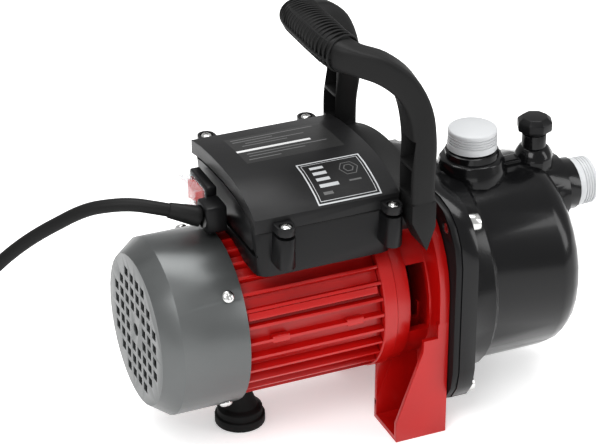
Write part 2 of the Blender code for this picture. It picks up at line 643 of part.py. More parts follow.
def switch_and_gland():
    face = BOX_X[0]
    y0, y1, z0, z1 = 9.0, 43.0, 164.0, 189.0
    frame = block("switch_frame", (face - 8, y0, z0), (face - 0.3, y1, z1), "black_plastic", 1.5)
    cut(frame, block("rocker_room", (face - 12, y0 + 5, z0 + 4.5), (face - 1.8, y1 - 5, z1 - 4.5)))
    middle_y, middle_z = (y0 + y1) / 2, (z0 + z1) / 2
    # The rocker tips about an axis across its middle and shows a wedge face
    face_in, lean = face - 8.5, 3.2
    wedge = [(face - 4.9, middle_y - 7), (face - 4.9, middle_y + 7), (face_in - lean, middle_y + 10.6)]
    wedge += [(face_in + 0.6, middle_y), (face_in, middle_y - 10.6)]
    plate("switch_rocker", [wedge], z0 + 5.2, z1 - 5.2, "switch_red", axis="z")
    low, high = (face - 17, y0 + 1.5, z0 + 1.5), (face - 8.3, y1 - 1.5, z1 - 1.5)
    shell = block("switch_cover", low, high, "clear_plastic", 1)
    cut(shell, block("switch_cover_room", (face - 15.8, y0 + 2.8, z0 + 2.8), (face - 5, y1 - 2.8, z1 - 2.8)))

    x, y, z = GLAND
    low, high = (x - 8, y - 9.5, z - 10), (face - 0.3, y + 9.5, z + 10)
    gland = block("cable_gland", low, high, "black_plastic", 2)
    profile = [(0, 23.6), (5.4, 23.6), (7.2, 5), (7.2, 1), (0, 1)]
    relief = turned("strain_relief", profile, "rubber", axis="z", steps=16)
    way = Vector(RELIEF).to_track_quat("Z", "Y").to_matrix().to_4x4()
    relief.matrix_world = Matrix.Translation(place(x - 8, y, z)) @ way
    cut(gland, relief_socket(way))
    return gland


# ---------------------------------------------------------------- cord


def smooth_route(points, spacing):
    """Points at an even spacing along a Catmull-Rom curve through the route's own points."""
    line = [Vector(p) for p in points]
    line = [2 * line[0] - line[1], *line, 2 * line[-1] - line[-2]]
    fine = []
    for a, b, c, d in zip(line, line[1:], line[2:], line[3:]):
        for i in range(16):
            t = i / 16
            bend = 2 * b + (c - a) * t + (2 * a - 5 * b + 4 * c - d) * t * t
            fine.append((bend + (3 * b - a - 3 * c + d) * t**3) / 2)
    fine.append(line[-2])
    lengths = [0.0]
    for a, b in zip(fine, fine[1:]):
        lengths.append(lengths[-1] + (b - a).length)
    count = max(2, round(lengths[-1] / spacing))
    route, k = [], 0
    for i in range(count + 1):
        goal = lengths[-1] * i / count
        while k < len(fine) - 2 and lengths[k + 1] < goal:
            k += 1
        share = (goal - lengths[k]) / (lengths[k + 1] - lengths[k])
        route.append(fine[k].lerp(fine[k + 1], min(share, 1)))
    return route


def cord():
    curve = bpy.data.curves.new("power_cord", "CURVE")
    curve.dimensions = "3D"
    curve.bevel_depth = CORD_D / 2 * MM
    curve.bevel_resolution = 2
    curve.use_fill_caps = True
    route = smooth_route(CORD_ROUTE, CORD_D * 1.2)
    spline = curve.splines.new("POLY")
    spline.points.add(len(route) - 1)
    for point, spot in zip(spline.points, route):
        point.co = (*place(*spot), 1)
    tube = bpy.data.objects.new("power_cord", curve)
    parts.objects.link(tube)
    paint(tube, "rubber")
    x, y = COIL_CENTRE
    rod("cord_coil", COIL_R + CORD_D, 0.3, 2 * CORD_D, "rubber", (x, y, 0), "z", 32, inner=COIL_R - CORD_D)
    plug_x, plug_y, plug_z = x - 59.5, y - 31.8, 19.4
    profile = [(0, 0), (5.6, 0), (7.5, -18), (18.5, -24), (19, -46), (17, -50), (0, -50)]
    plug_body = turned("mains_plug", profile, "rubber", (plug_x, plug_y, plug_z), "z", MEDIUM)
    lay = Matrix.Rotation(math.radians(-90), 4, "X")
    plug_body.matrix_world = Matrix.Translation(place(plug_x, plug_y, plug_z)) @ lay
    for i, side in enumerate((-1, 1)):
        pin = turned("plug_pin_%d" % i, [(0, -45), (2.4, -45), (2.4, -69), (0, -69)], axis="z", steps=SMALL)
        pin.matrix_world = Matrix.Translation(place(plug_x + side * 9.5, plug_y, plug_z)) @ lay
        join(plug_body, pin)


def build():
    cover = fan_cover()
    shield = rear_end_shield()
    fan_cover_screws(cover, shield)
    motor_housing()
    stator()
    bearing("rear_bearing", 54)
    bearing("front_bearing", 168)
    rotor()
    front_bracket()
    rear_foot()
    pump_housing()
    small_pump_parts()
    handle()
    terminal_box()
    switch_and_gland()
    cord()


build()
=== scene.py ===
import json
import math
import bmesh
import bpy
from mathutils import Matrix, Vector

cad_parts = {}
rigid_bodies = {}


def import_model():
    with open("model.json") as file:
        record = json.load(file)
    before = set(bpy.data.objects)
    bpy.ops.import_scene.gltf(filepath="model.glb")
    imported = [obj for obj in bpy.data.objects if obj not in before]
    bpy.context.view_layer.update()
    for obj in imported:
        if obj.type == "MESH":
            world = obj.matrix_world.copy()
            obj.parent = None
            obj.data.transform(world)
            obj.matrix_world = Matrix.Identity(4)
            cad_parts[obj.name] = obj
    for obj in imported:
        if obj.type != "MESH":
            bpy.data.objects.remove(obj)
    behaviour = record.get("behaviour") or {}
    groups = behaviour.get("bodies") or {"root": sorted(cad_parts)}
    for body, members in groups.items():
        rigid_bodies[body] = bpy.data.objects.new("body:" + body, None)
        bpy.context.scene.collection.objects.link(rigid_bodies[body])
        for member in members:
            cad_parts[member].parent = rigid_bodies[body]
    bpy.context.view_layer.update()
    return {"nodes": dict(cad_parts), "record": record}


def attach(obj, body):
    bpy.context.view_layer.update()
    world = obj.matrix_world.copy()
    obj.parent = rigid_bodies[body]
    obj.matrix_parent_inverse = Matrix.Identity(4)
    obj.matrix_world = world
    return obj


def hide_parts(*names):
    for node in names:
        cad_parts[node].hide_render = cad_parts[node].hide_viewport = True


for leftover in list(bpy.data.objects):
    bpy.data.objects.remove(leftover)
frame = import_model()
mm = 0.001
fanFace = -178.0  # x of the fan cover's face
axisZ = 94.5  # height of the shaft
pump = {"length": 356, "dischargeX": 258.6, "fillerX": 309, "suctionZ": 139.5, "outletBore": 12.6, "fillerBore": 6.4}
print("frame loaded")


def at(x, y, z):  # millimetres from the fan face, to metres
    return Vector(((x + fanFace) * mm, y * mm, z * mm))


# camera
azimuth, elevation, roll = math.radians(-23.12), math.radians(28.60), math.radians(-0.12)
level = math.cos(elevation)
away = Vector((math.sin(azimuth) * level, -math.cos(azimuth) * level, math.sin(elevation)))
right = (-away).cross(Vector((0, 0, 1))).normalized()
lens = bpy.data.cameras.new("camera")
lens.sensor_width, lens.lens, lens.clip_start = 36, 137.3, 0.05
camera = bpy.data.objects.new("camera", lens)
bpy.context.scene.collection.objects.link(camera)
turn = Matrix((right, right.cross(-away), away)).transposed() @ Matrix.Rotation(roll, 3, "Z")
camera.matrix_world = Matrix.Translation((-0.60564, -1.28964, 0.91778)) @ turn.to_4x4()
bpy.context.scene.camera = camera
bpy.context.scene.view_settings.view_transform = "Standard"
bpy.context.scene.view_settings.look = "Medium High Contrast"


# finishes
def nodeOf(tree, kind, **values):
    node = tree.nodes.new(kind)
    for name, value in values.items():
        setattr(node, name, value)
    return node


def finish(name, colour, rough, metal=0.0, coat=0.0, grain=900.0, bump=0.02, wear=0.25, transmission=0.0, alpha=1.0):
    material = bpy.data.materials.new(name)
    material.use_nodes = True
    tree = material.node_tree
    shader = tree.nodes["Principled BSDF"]
    shader.inputs["Metallic"].default_value = metal
    shader.inputs["Coat Weight"].default_value = coat
    shader.inputs["Coat Roughness"].default_value = 0.08
    shader.inputs["Transmission Weight"].default_value = transmission
    shader.inputs["Alpha"].default_value = alpha
    shader.inputs["Specular IOR Level"].default_value = 0.5 if metal or max(colour) > 0.1 else 0.22
    place = nodeOf(tree, "ShaderNodeTexCoord")
    fine = nodeOf(tree, "ShaderNodeTexNoise")
    fine.inputs["Scale"].default_value = grain
    fine.inputs["Detail"].default_value = 3
    broad = nodeOf(tree, "ShaderNodeTexNoise")
    broad.inputs["Scale"].default_value = 28
    broad.inputs["Detail"].default_value = 5
    tree.links.new(place.outputs["Object"], fine.inputs["Vector"])
    tree.links.new(place.outputs["Object"], broad.inputs["Vector"])
    tint = nodeOf(tree, "ShaderNodeMix", data_type="RGBA")
    tint.inputs["A"].default_value = (*[c * (1 - wear * 0.5) for c in colour], 1)
    tint.inputs["B"].default_value = (*[min(1, c * (1 + wear * 0.5)) for c in colour], 1)
    tree.links.new(broad.outputs["Fac"], tint.inputs["Factor"])
    tree.links.new(tint.outputs["Result"], shader.inputs["Base Color"])
    gloss = nodeOf(tree, "ShaderNodeMapRange")
    gloss.inputs["To Min"].default_value = max(0.03, rough * (1 - wear))
    gloss.inputs["To Max"].default_value = min(1, rough * (1 + wear))
    tree.links.new(broad.outputs["Fac"], gloss.inputs["Value"])
    tree.links.new(gloss.outputs["Result"], shader.inputs["Roughness"])
    relief = nodeOf(tree, "ShaderNodeBump")
    relief.inputs["Strength"].default_value = bump * 10
    relief.inputs["Distance"].default_value = 0.0002
    tree.links.new(fine.outputs["Fac"], relief.inputs["Height"])
    tree.links.new(relief.outputs["Normal"], shader.inputs["Normal"])
    return material


finishes = {
    "red_paint": finish("redPaint", (0.37, 0.004, 0.003), 0.32, coat=0.12, grain=600, bump=0.012),
    "grey_metal": finish("greyCoat", (0.115, 0.12, 0.12), 0.36, metal=0.5, grain=1500, bump=0.02),
    "black_plastic": finish("blackPlastic", (0.008, 0.008, 0.0085), 0.36, grain=1100, bump=0.02),
    "handle_plastic": finish("handlePlastic", (0.011, 0.011, 0.011), 0.52, grain=1300, bump=0.05),
    "cap_plastic": finish(
        "capPlastic", (0.58, 0.59, 0.60), 0.42, grain=500, bump=0.02, wear=0.1, transmission=0.2
    ),
    "steel": finish("steel", (0.62, 0.62, 0.61), 0.24, metal=1.0, grain=1800, bump=0.02),
    "iron": finish("iron", (0.20, 0.19, 0.18), 0.55, metal=0.8, grain=700, bump=0.05),
    "copper": finish("copper", (0.60, 0.24, 0.10), 0.35, metal=0.9, grain=1500, bump=0.08),
    "brass": finish("brass", (0.60, 0.42, 0.16), 0.32, metal=1.0, grain=1200, bump=0.02),
    "rubber": finish("rubber", (0.007, 0.007, 0.007), 0.58, grain=1400, bump=0.05),
    "ceramic": finish("ceramic", (0.62, 0.60, 0.56), 0.3, grain=900, bump=0.01, wear=0.1),
    "switch_red": finish("switchRed", (0.70, 0.012, 0.006), 0.25, coat=0.3, grain=500, bump=0.01),
    "clear_plastic": finish(
        "clearPlastic", (0.62, 0.64, 0.66), 0.12, grain=300, bump=0.005, wear=0.05, transmission=0.85, alpha=0.34
    ),
    "white_plastic": finish("whitePlastic", (0.72, 0.71, 0.68), 0.4, grain=900, bump=0.02, wear=0.1),
    "pump_black": finish("pumpBlack", (0.006, 0.006, 0.0065), 0.2, coat=0.18, grain=420, bump=0.012),
    "cord_black": finish("cordBlack", (0.010, 0.010, 0.010), 0.5, grain=1600, bump=0.05),
}
slotOf = {}
for row in frame["record"]["subparts"]:
    slotOf[row["node"]] = row["material_slot"]


def mathNode(tree, operation, a, b=None):
    node = nodeOf(tree, "ShaderNodeMath", operation=operation)
    for socket, value in zip(node.inputs, (a, b)):
        if isinstance(value, (int, float)):
            socket.default_value = value
        elif value is not None:
            tree.links.new(value, socket)
    return node.outputs[0]


def boxMask(tree, xs, ys, x0, x1, y0, y1):  # 1 inside the box
    inside = mathNode(tree, "GREATER_THAN", xs, (x0 + fanFace) * mm)
    for test in (
        mathNode(tree, "LESS_THAN", xs, (x1 + fanFace) * mm),
        mathNode(tree, "GREATER_THAN", ys, y0 * mm),
        mathNode(tree, "LESS_THAN", ys, y1 * mm),
    ):
        inside = mathNode(tree, "MULTIPLY", inside, test)
    return inside


def hexMask(tree, xs, ys, cx, cy, size):  # 1 inside a hexagon of that half width
    dx = mathNode(tree, "ABSOLUTE", mathNode(tree, "SUBTRACT", xs, (cx + fanFace) * mm))
    dy = mathNode(tree, "ABSOLUTE", mathNode(tree, "SUBTRACT", ys, cy * mm))
    slant = mathNode(tree, "ADD", mathNode(tree, "MULTIPLY", dx, 0.866), mathNode(tree, "MULTIPLY", dy, 0.5))
    return mathNode(tree, "LESS_THAN", mathNode(tree, "MAXIMUM", slant, dy), size * mm)


def printOn(material, marks):  # marks: a mask for each printed colour
    tree = material.node_tree
    shader = tree.nodes["Principled BSDF"]
    place = next(n for n in tree.nodes if n.type == "TEX_COORD")
    parts = nodeOf(tree, "ShaderNodeSeparateXYZ")
    tree.links.new(place.outputs["Object"], parts.inputs[0])
    xs, ys, zs = parts.outputs
    top = mathNode(tree, "GREATER_THAN", zs, 0.19)
    last = shader.inputs["Base Color"].links[0].from_socket
    for colour, mask in marks(tree, xs, ys):
        mix = nodeOf(tree, "ShaderNodeMix", data_type="RGBA")
        tree.links.new(last, mix.inputs["A"])
        mix.inputs["B"].default_value = (*colour, 1)
        tree.links.new(mathNode(tree, "MULTIPLY", mask, top), mix.inputs["Factor"])
        last = mix.outputs["Result"]
    tree.links.new(last, shader.inputs["Base Color"])


def lidMarks(tree, xs, ys):
    def ring(x0, x1, y0, y1, wide):
        outer = boxMask(tree, xs, ys, x0, x1, y0, y1)
        inner = boxMask(tree, xs, ys, x0 + wide, x1 - wide, y0 + wide, y1 - wide)
        return mathNode(tree, "SUBTRACT", outer, inner)

    white, grey, dim = (0.50, 0.51, 0.52), (0.13, 0.13, 0.13), (0.030, 0.030, 0.030)
    marks = [(white, ring(113.8, 160.8, -57.2, -17, 1.1)), (white, ring(116.4, 158.2, -54.8, -19.4, 0.45))]
    for outer, inner in ((6.2, 5.6), (3.4, 2.7)):
        sizes = [hexMask(tree, xs, ys, 147.5, -30.5, size) for size in (outer, inner)]
        marks.append((grey, mathNode(tree, "SUBTRACT", *sizes)))
    for x1, y in ((131, -26), (131, -32), (131, -38), (135, -44)):
        marks.append((white, boxMask(tree, xs, ys, 121, x1, y, y + 3)))
    marks.append((grey, boxMask(tree, xs, ys, 121, 128, -50.5, -48)))
    marks.append((grey, boxMask(tree, xs, ys, 143, 152, -43, -41.6)))
    marks.append((dim, boxMask(tree, xs, ys, 84.5, 157.5, -2, 43)))
    lines = (
        (88, 150, 38.5), (88, 118, 34.5), (96, 140, 30), (92, 126, 26), (90, 150, 12), (90, 132, 8), (88, 112, 3),
    )
    for x0, x1, y in lines:
        marks.append((grey, boxMask(tree, xs, ys, x0, x1, y - 0.5, y + 0.7)))
    marks.append(((0.62, 0.62, 0.62), boxMask(tree, xs, ys, 84.5, 140, 16.2, 19.2)))
    return marks


lidFinish = finish("lidPlastic", (0.013, 0.013, 0.0135), 0.40, grain=1000, bump=0.03)
printOn(lidFinish, lidMarks)
finishes["lid"] = lidFinish
bodyFinish = {
    "terminal_box_cover": "lid", "pump_housing": "pump_black", "power_cord": "cord_black",
    "cord_coil": "cord_black", "mains_plug": "cord_black", "strain_relief": "cord_black",
}


# carried-over nodes
def dress(node, width):
    for polygon in node.data.polygons:
        polygon.use_smooth = True
    weld = node.modifiers.new("weld", "WELD")
    weld.merge_threshold = 0.00001
    plain = node.modifiers.new("plain", "DECIMATE")
    plain.decimate_type = "DISSOLVE"
    plain.angle_limit = math.radians(0.6)
    edge = node.modifiers.new("edge", "BEVEL")
    edge.width = width * mm
    edge.segments = 3 if width > 1 else 2
    edge.limit_method = "ANGLE"
    edge.angle_limit = math.radians(35)
    edge.harden_normals = True
    edge.use_clamp_overlap = True


edgeWidth = {
    "motor_housing": 0.35, "front_bracket": 0.8, "pump_housing": 0.9, "fan_cover": 0.25, "rear_foot": 0.5,
    "terminal_box_cover": 1.5, "terminal_box_base": 0.8, "handle": 1.2, "seal_plate": 0.8, "filler_plug": 0.8,
}
print("dressing")
for name, node in frame["nodes"].items():
    key = bodyFinish.get(name, slotOf.get(name, "black_plastic"))
    node.data.materials.clear()
    node.data.materials.append(finishes[key])
    for polygon in node.data.polygons:
        polygon.material_index = 0
    dress(node, edgeWidth.get(name, 0.3))


# tools for new pieces
def only(obj):
    bpy.ops.object.select_all(action="DESELECT")
    bpy.context.view_layer.objects.active = obj
    obj.select_set(True)


def modify(obj, kind, **values):
    modifier = obj.modifiers.new(kind.lower(), kind)
    for name, value in values.items():
        setattr(modifier, name, value)
    only(obj)
    bpy.ops.object.modifier_apply(modifier=modifier.name)


def settle(obj):
    only(obj)
    bpy.ops.object.transform_apply(location=True, rotation=True, scale=True)


quarter = math.pi / 2
turns = {  # from +z to each axis
    "z": (0, 0, 0), "-z": (math.pi, 0, 0), "x": (0, quarter, 0), "-x": (0, -quarter, 0), "-y": (quarter, 0, 0),
}


def turned(name, steps, spot, axis="z", sides=64):  # steps: (radius, height) from the base on
    bpy.ops.object.select_all(action="DESELECT")
    (r0, h0), (r1, h1) = steps[:2]
    bpy.ops.mesh.primitive_cone_add(
        vertices=sides, radius1=r0 * mm, radius2=r1 * mm, depth=(h1 - h0) * mm, location=(0, 0, (h0 + h1) / 2 * mm)
    )
    obj = bpy.context.object
    obj.name = name
    settle(obj)
    bpy.ops.object.mode_set(mode="EDIT")
    bpy.ops.mesh.select_mode(type="FACE")
    bpy.ops.mesh.select_all(action="DESELECT")
    bm = bmesh.from_edit_mesh(obj.data)
    top = max((f for f in bm.faces if len(f.verts) == sides), key=lambda f: f.calc_center_median().z)
    top.select_set(True)
    bm.select_flush_mode()
    bmesh.update_edit_mesh(obj.data)
    for (ra, ha), (rb, hb) in zip(steps[1:], steps[2:]):
        bpy.ops.mesh.extrude_region_move(TRANSFORM_OT_translate={"value": (0, 0, (hb - ha) * mm)})
        bpy.ops.transform.resize(value=(rb / ra, rb / ra, 1), center_override=(0, 0, hb * mm))
    bpy.ops.mesh.select_all(action="SELECT")
    bpy.ops.mesh.normals_make_consistent(inside=False)
    bpy.ops.object.mode_set(mode="OBJECT")
    obj.rotation_euler = turns[axis]
    obj.location = spot
    settle(obj)
    return obj


def block(name, low, high):
    bpy.ops.object.select_all(action="DESELECT")
    bpy.ops.mesh.primitive_cube_add(size=1, location=(at(*low) + at(*high)) / 2)
    obj = bpy.context.object
    obj.name = name
    obj.scale = at(*high) - at(*low)
    settle(obj)
    return obj


def plate(name, outline, low, high, along):  # outline in the plane across the axis
    bpy.ops.object.select_all(action="DESELECT")
    bpy.ops.mesh.primitive_circle_add(vertices=len(outline), radius=0.05, fill_type="NGON")
    obj = bpy.context.object
    obj.name = name
    bpy.ops.object.mode_set(mode="EDIT")
    bm = bmesh.from_edit_mesh(obj.data)
    for vert, (a, b) in zip(bm.verts, outline):
        vert.co = at(low, a, b) if along == "x" else at(a, low, b)
    bmesh.update_edit_mesh(obj.data)
    bpy.ops.mesh.select_all(action="SELECT")
    thick = (high - low) * mm
    step = (thick, 0, 0) if along == "x" else (0, thick, 0)
    bpy.ops.mesh.extrude_region_move(TRANSFORM_OT_translate={"value": step})
    bpy.ops.mesh.select_all(action="SELECT")
    bpy.ops.mesh.normals_make_consistent(inside=False)
    bpy.ops.object.mode_set(mode="OBJECT")
    return obj


def dispose(*things):
    for thing in things:
        bpy.data.objects.remove(thing)


def carve(obj, *cutters):
    for cutter in cutters:
        modify(obj, "BOOLEAN", operation="DIFFERENCE", object=cutter, solver="EXACT")
    dispose(*cutters)


def unite(obj, *others):
    for other in others:
        modify(obj, "BOOLEAN", operation="UNION", object=other, solver="EXACT")
    dispose(*others)


def rounded(obj, width, segments, angle):
    limit = math.radians(angle)
    modify(obj, "BEVEL", width=width * mm, segments=segments, limit_method="ANGLE", angle_limit=limit)


def polish(obj, width=0.0, segments=2, angle=35):
    if width:
        rounded(obj, width, segments, angle)
    only(obj)
    bpy.ops.object.shade_smooth_by_angle(angle=math.radians(38))


def piece(obj, look, body="body", stands=()):
    obj.data.materials.clear()
    obj.data.materials.append(finishes[look])
    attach(obj, body)
    if stands:
        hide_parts(*stands)
    return obj


# cord, plug and tie
cord = {
    "thick": 9.5, "length": 1.5,
    "centre": (-225.0, 10.0), "outer": 57.25, "inner": 47.6, "low": 6.0, "high": 15.6,
    "start": 97, "step": 10, "steps": 117, "shift": 30, "dip": 3.75,
}
route = (
    (50.4, -1, 173.5), (42, 1.2, 176.2), (34, 3.3, 178.8), (26.8, 5.2, 181.2), (18, 8, 183.4), (9, 12.3, 185),
    (-1, 17, 185.1), (-11, 22.4, 183.3), (-20.2, 28, 180.5), (-30, 33.4, 175.2), (-38.9, 38, 169), (-49, 42.4, 162.6),
    (-59, 46.5, 155.5), (-69, 50.4, 147.3), (-79, 54, 138), (-88, 57.2, 127.8), (-97, 60, 117), (-105, 62.6, 105.8),
    (-113, 65, 94), (-120, 67.2, 82.6), (-127, 69, 71), (-133.5, 70.4, 59.8), (-140, 71.5, 49), (-146.3, 72.2, 39.1),
    (-153, 72.5, 30), (-160, 72.6, 21.8), (-168, 72.5, 14.8), (-177, 72, 9.6), (-187, 71.1, 6.9), (-197, 70.1, 6.1),
    (-209, 69, 6.0), (-221, 67.9, 6.0),
)


def through(angle, begin):  # how far a change that begins at that angle has gone
    return min(max((angle - begin) / cord["shift"], 0.0), 1.0)


def coilPoint(angle):  # outer and inner turn on the floor, then inner and outer turn on top
    inward = through(angle, 415) - through(angle, 1135)
    upward = through(angle, 775)
    radius = cord["outer"] + (cord["inner"] - cord["outer"]) * inward - cord["dip"] * math.sin(math.pi * upward)
    height = cord["low"] + (cord["high"] - cord["low"]) * upward
    turn = math.radians(angle)
    return cord["centre"][0] + radius * math.cos(turn), cord["centre"][1] + radius * math.sin(turn), height


points = list(route) + [coilPoint(cord["start"] + cord["step"] * i) for i in range(cord["steps"])]
points += [(-282.6, 2, 16.2), (-283.2, -6, 17.4), (-283.8, -14, 18.6), (-284.4, -21, 19.4), (-284.5, -27, 19.4)]
bpy.ops.curve.primitive_nurbs_path_add(location=(0, 0, 0))
powerCord = bpy.context.object
powerCord.name = "powerCord"
spline = powerCord.data.splines[0]
spline.points.add(len(points) - len(spline.points))
for point, spot in zip(spline.points, points):
    point.co = (*at(*spot), 1)
spline.order_u = 3
spline.use_endpoint_u = True
spline.resolution_u = 4
powerCord.data.resolution_u = 4
powerCord.data.bevel_depth = cord["thick"] / 2 * mm
powerCord.data.bevel_resolution = 6
powerCord.data.use_fill_caps = True
piece(powerCord, "cord_black", stands=("power_cord", "cord_coil"))
length = sum((at(*b) - at(*a)).length for a, b in zip(points, points[1:]))
print("cord drawn", round(length, 3))

plugSpot = at(-284.5, -21.8, 19.4)
pinApart = 9.5
plugEnd = 50.2
plugSteps = [
    (5.6, 0), (6.0, 4), (6.5, 9), (7.1, 14), (9.5, 19), (14.5, 23),
    (17.6, 27), (18.6, 32), (18.6, 44), (17.4, 46), (17.4, 49.2), (16.6, 50),
]
mainsPlug = turned("mainsPlug", plugSteps, plugSpot, "-y", 48)
for side in (-1, 1):
    pinSpot = plugSpot + Vector((side * pinApart * mm, 0, 0))
    pin = turned("pin", [(2.4, 45), (2.4, 67.6), (1.5, 69)], pinSpot, "-y", 24)
    unite(mainsPlug, pin)
polish(mainsPlug, 0.3)
piece(mainsPlug, "cord_black", stands=("mains_plug",))
mainsPlug.data.materials.append(finishes["steel"])
for polygon in mainsPlug.data.polygons:
    if polygon.center.y < plugSpot.y - plugEnd * mm:  # the pins
        polygon.material_index = 1

tie = {"turn": math.radians(140), "radius": 52.45, "height": 10.8}
tieOut = Vector((math.cos(tie["turn"]), math.sin(tie["turn"]), 0))
cordTie = block("cordTie", (-fanFace - 10.9, -3, -10.75), (-fanFace + 10.9, 3, 10.6))
tieHole = block("tieHole", (-fanFace - 9.8, -9, -9.75), (-fanFace + 9.8, 9, 9.75))
rounded(cordTie, 2, 3, 40)
rounded(tieHole, 2, 3, 40)
carve(cordTie, tieHole)
cordTie.rotation_euler = (0, 0, tie["turn"])
cordTie.location = at(*cord["centre"], tie["height"]) + tieOut * tie["radius"] * mm
settle(cordTie)
polish(cordTie)
piece(cordTie, "rubber")

# transport caps
groove = {"count": 4, "first": 2.4, "pitch": 2.1}
capSteps = [(16.6, 0), (17.4, 0.5), (17.7, 1.2), (17.75, groove["first"])]
for ring in range(groove["count"]):
    base = groove["first"] + ring * groove["pitch"]
    capSteps += [(17.75, base + 0.7), (17.15, base + 1.0), (17.15, base + 1.5), (17.85, base + 1.8)]
capSteps += [(18.0, 11.0), (18.2, 13.6), (18.2, 15), (16.9, 15), (16.9, 2.2)]
dischargeCap = turned("dischargeCap", capSteps, at(pump["dischargeX"], 0, 201), "-z", 72)
suctionCap = turned("suctionCap", capSteps, at(pump["length"], 0, pump["suctionZ"]), "-x", 72)
for obj, body in ((dischargeCap, "discharge_cap"), (suctionCap, "suction_cap")):
    polish(obj)
    piece(obj, "cap_plastic", body, (body,))
print("caps")

# cross-recessed screws
screwSteps = [(2.2, 0), (2.2, 0.4), (4.5, 0.4), (4.5, 0.9), (4.1, 1.7), (3.3, 2.35), (2.2, 2.8), (1.0, 3.0)]


def screw(name, spot, direction, stands, scale):
    obj = turned(name, [(r * scale, h * scale) for r, h in screwSteps], (0, 0, 0), "z", 32)
    for wide, deep in ((1.0, 4.6), (4.6, 1.0)):  # the cross
        bpy.ops.mesh.primitive_cube_add(size=1, location=(0, 0, 3.0 * scale * mm))
        slot = bpy.context.object
        slot.scale = (wide * scale * mm, deep * scale * mm, 2.4 * scale * mm)
        settle(slot)
        carve(obj, slot)
    polish(obj)
    obj.rotation_euler = Vector((0, 0, 1)).rotation_difference(Vector(direction)).to_euler()
    obj.location = spot
    settle(obj)
    piece(obj, "steel", "body", (stands,))


for index, angle in enumerate((50, 140, 230, 320), 1):
    turn = math.radians(angle)
    out = Vector((0, math.cos(turn), math.sin(turn)))
    spot = at(50.3, 0, axisZ) + out * 63.7 * mm
    screw("coverScrew%d" % index, spot, out, "fan_cover_screw_%d" % index, 1.0)
posts = ((86.0, -66.0, 191.2), (165.0, -66.0, 191.2), (157.5, 66.0, 200.0), (80.5, 66.0, 200.0))
for index, (x, y, top) in enumerate(posts, 1):
    screw("boxScrew%d" % index, at(x, y, top - 2.0), (0, 0, 1), "terminal_box_screw_%d" % index, 0.95)
print("screws")

# handle: two swept arms that meet in the grip
stations = (
    ((183.5, -64.6, 190), (9.1, 0, 0), (0, 12, 0)), ((183.6, -64.3, 212), (9.2, 0, 0), (0, 12, 0)),
    ((185.2, -62, 234), (9.2, 0, 0.6), (0, 12, 0)), ((183.2, -59.5, 256), (8.6, -1, 3.2), (0.4, 12, 0)),
    ((175.5, -57, 274.5), (6.4, -1.5, 6.8), (1.8, 10.8, 0)), ((162, -51.8, 286.5), (3, -0.5, 9), (3.2, 9, 0)),
    ((148.5, -44.3, 291.5), (0.6, 0, 9.4), (4.8, 7.8, 0)), ((140, -35.5, 294.5), (0.3, 0, 10.5), (9, 6.5, 0)),
    ((137.5, -23, 296), (0, 0, 11.5), (13, 2, 0)), ((137, 0, 297), (0, 0, 12), (14, 0, 0)),
)
flip = Matrix.Diagonal((1, -1, 1))
sweep = [tuple(Vector(v) for v in row) for row in stations]
sweep += [(flip @ c, flip @ u, flip @ v) for c, u, v in reversed(sweep[:-1])]


def eased(rows, index, part):  # a smooth curve through the rows
    p0, p1, p2, p3 = (rows[min(max(index + k, 0), len(rows) - 1)] for k in (-1, 0, 1, 2))
    bend = (2 * p0 - 5 * p1 + 4 * p2 - p3) * part ** 2
    return 0.5 * (2 * p1 + (p2 - p0) * part + bend + (3 * p1 - p0 - 3 * p2 + p3) * part ** 3)


ringSides = 24


def powered(value, power):
    return math.copysign(abs(value) ** power, value)


def sectionAt(place):  # boxy on the arms, rounder in the grip
    index = min(int(place), len(sweep) - 2)
    centre, u, v = (eased([row[k] for row in sweep], index, place - index) for k in range(3))
    grip = max(0.0, 1 - abs(place - (len(stations) - 1)) / 3.2)
    power = 0.34 + 0.5 * min(1, grip * 1.4)
    ring = []
    for i in range(ringSides):
        angle = 2 * math.pi * (i + 0.5) / ringSides
        ring.append(at(*(centre + u * powered(math.cos(angle), power) + v * powered(math.sin(angle), power))))
    return ring


def swept(name, places):
    bpy.ops.object.select_all(action="DESELECT")
    bpy.ops.mesh.primitive_cylinder_add(vertices=ringSides, radius=0.01, depth=0.01, end_fill_type="NGON")
    obj = bpy.context.object
    obj.name = name
    bpy.ops.object.mode_set(mode="EDIT")
    bpy.ops.mesh.select_mode(type="FACE")
    bm = bmesh.from_edit_mesh(obj.data)
    ends = sorted((f for f in bm.faces if len(f.verts) == ringSides), key=lambda f: f.calc_center_median().z)
    for vert in bm.verts:
        turn = math.atan2(vert.co.y, vert.co.x) / (2 * math.pi) * ringSides
        ring = sectionAt(places[0] if vert.co.z < 0 else places[1])
        vert.co = ring[round(turn) % ringSides]
    bpy.ops.mesh.select_all(action="DESELECT")
    ends[1].select_set(True)
    bmesh.update_edit_mesh(obj.data)
    lift = Vector((0, 0, mm))
    for before, place in zip(places[1:], places[2:]):
        bpy.ops.mesh.extrude_region_move(TRANSFORM_OT_translate={"value": tuple(lift)})
        bm = bmesh.from_edit_mesh(obj.data)
        top = next(f for f in bm.faces if f.select and len(f.verts) == ringSides)
        old, ring = sectionAt(before), sectionAt(place)
        for vert in top.verts:
            nearest = min(range(ringSides), key=lambda i: (old[i] + lift - vert.co).length)
            vert.co = ring[nearest]
        bmesh.update_edit_mesh(obj.data)
    bpy.ops.mesh.select_all(action="SELECT")
    bpy.ops.mesh.normals_make_consistent(inside=False)
    bpy.ops.object.mode_set(mode="OBJECT")
    return obj


